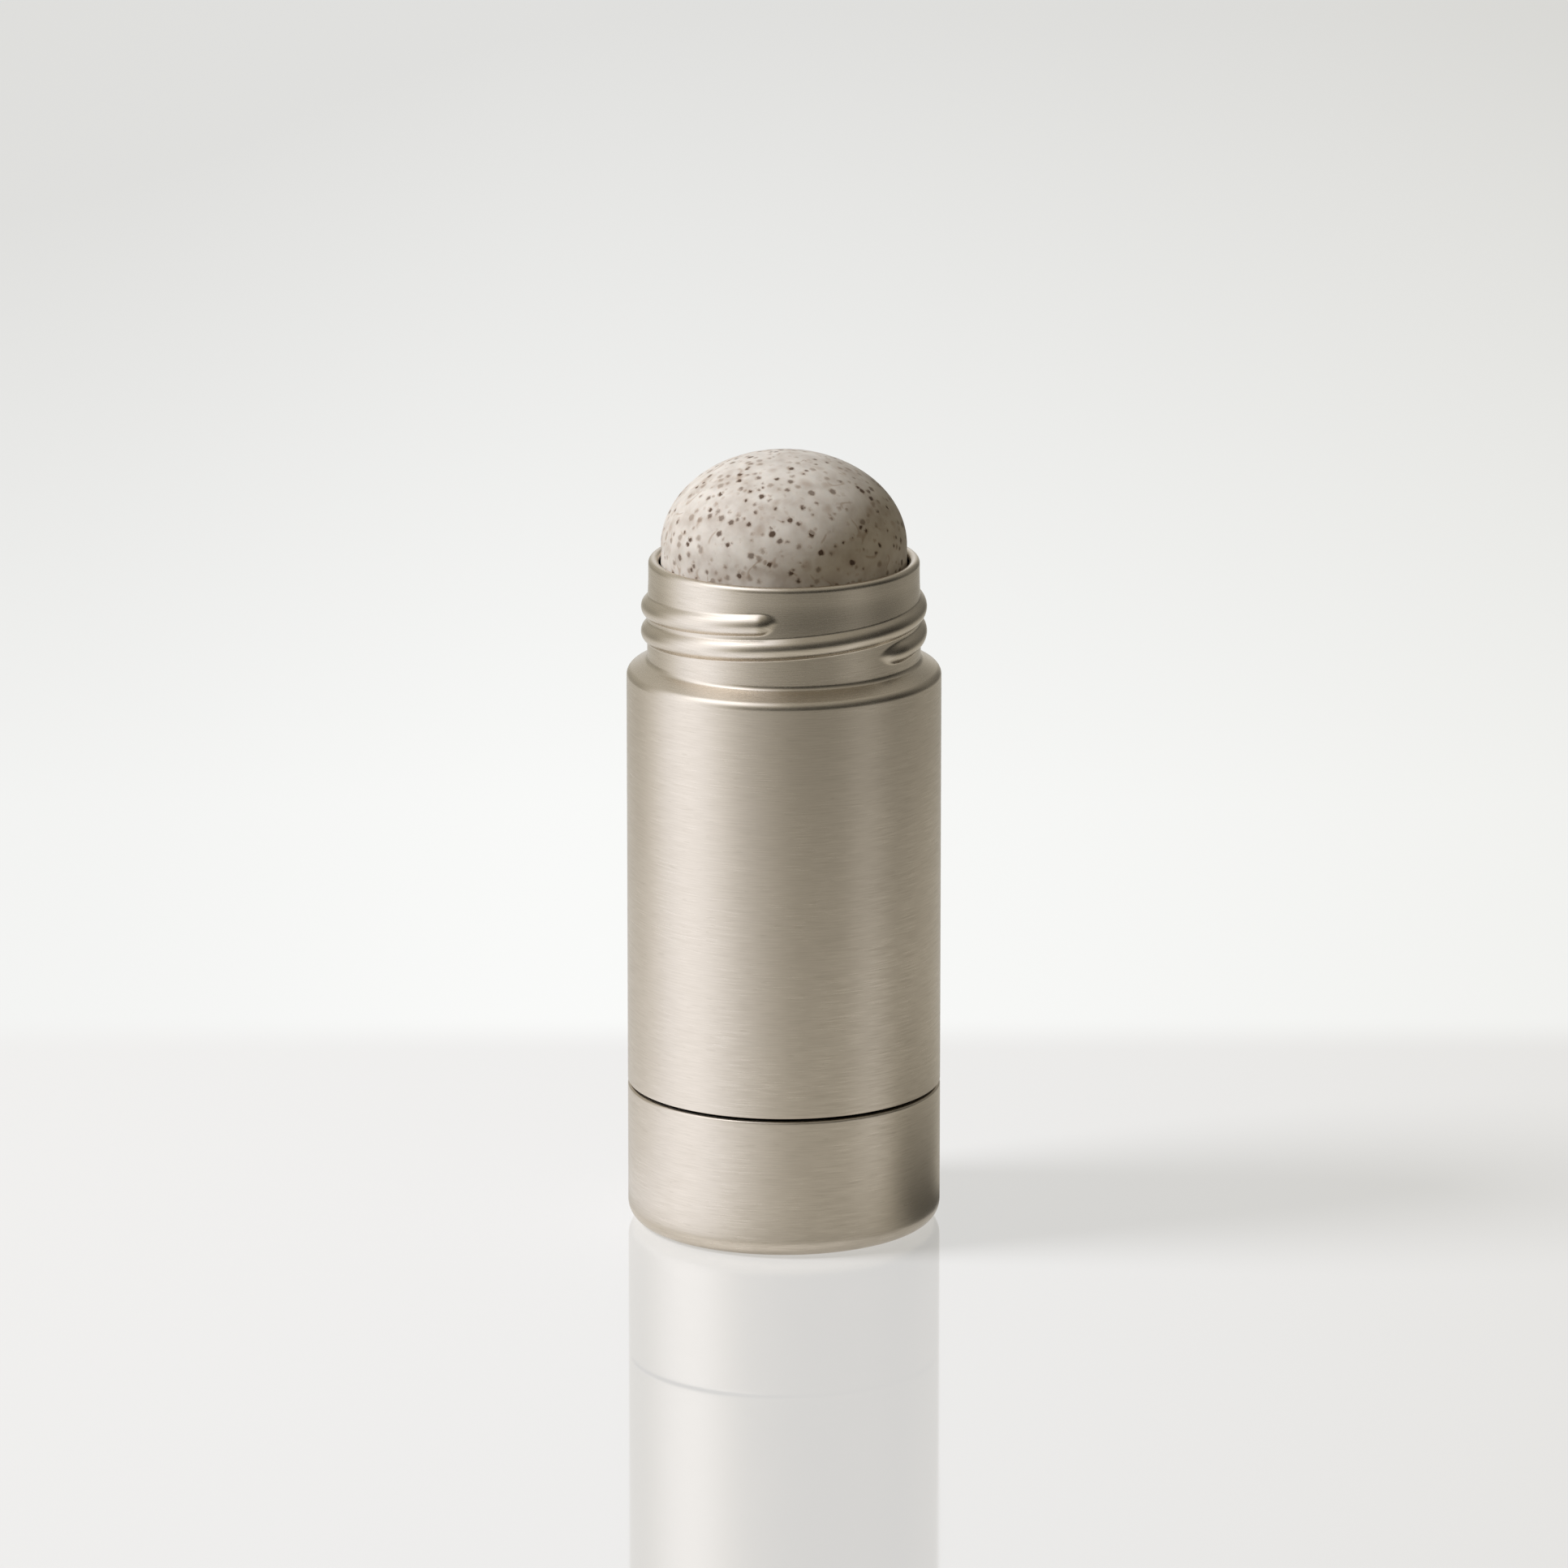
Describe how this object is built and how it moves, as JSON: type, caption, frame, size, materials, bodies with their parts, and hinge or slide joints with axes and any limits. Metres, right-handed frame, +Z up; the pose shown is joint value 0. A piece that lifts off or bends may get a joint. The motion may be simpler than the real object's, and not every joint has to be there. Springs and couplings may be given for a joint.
{
  "type": "exfoliating stick",
  "caption": "Twist-up skin stick: a domed, speckled solid balm raised by a screw from a brushed aluminium case with a turning base and a threaded neck.",
  "frame": {"origin": "centre of the base cup's underside, where the stick stands", "axes": "+Z up along the stick's own axis, towards the dome; -Y faces the viewer"},
  "size_m": [0.038, 0.038, 0.0954],
  "materials": {
    "brushed_aluminium": "brushed round the axis, warm satin, clear lacquered",
    "dark_polypropylene": "moulded, fine matt",
    "white_polypropylene": "moulded, satin",
    "speckled_balm": "cast wax balm, soft sheen, full of fine ground particles"
  },
  "bodies": {
    "case": {"sleeve": "brushed_aluminium", "inner_tube": "dark_polypropylene"},
    "dial": {"base_cup": "brushed_aluminium", "dial_core": "dark_polypropylene", "spindle": "white_polypropylene"},
    "lift": {"carrier": "white_polypropylene", "exfoliating_stick": "speckled_balm"}
  },
  "joints": [
    {"name": "dial_turn", "type": "hinge", "parent": "case", "child": "dial", "pos_m": [0, 0, 0.0088], "axis": [0, 0, 1], "range_deg": [0, 3600]},
    {"name": "stick_lift", "type": "slide", "parent": "case", "child": "lift", "axis": [0, 0, 1], "range_m": [0, 0.06]}
  ],
  "couplings": [
    {"joint": "dial_turn", "follows": "stick_lift", "rad_per_m": 1047.2}
  ]
}
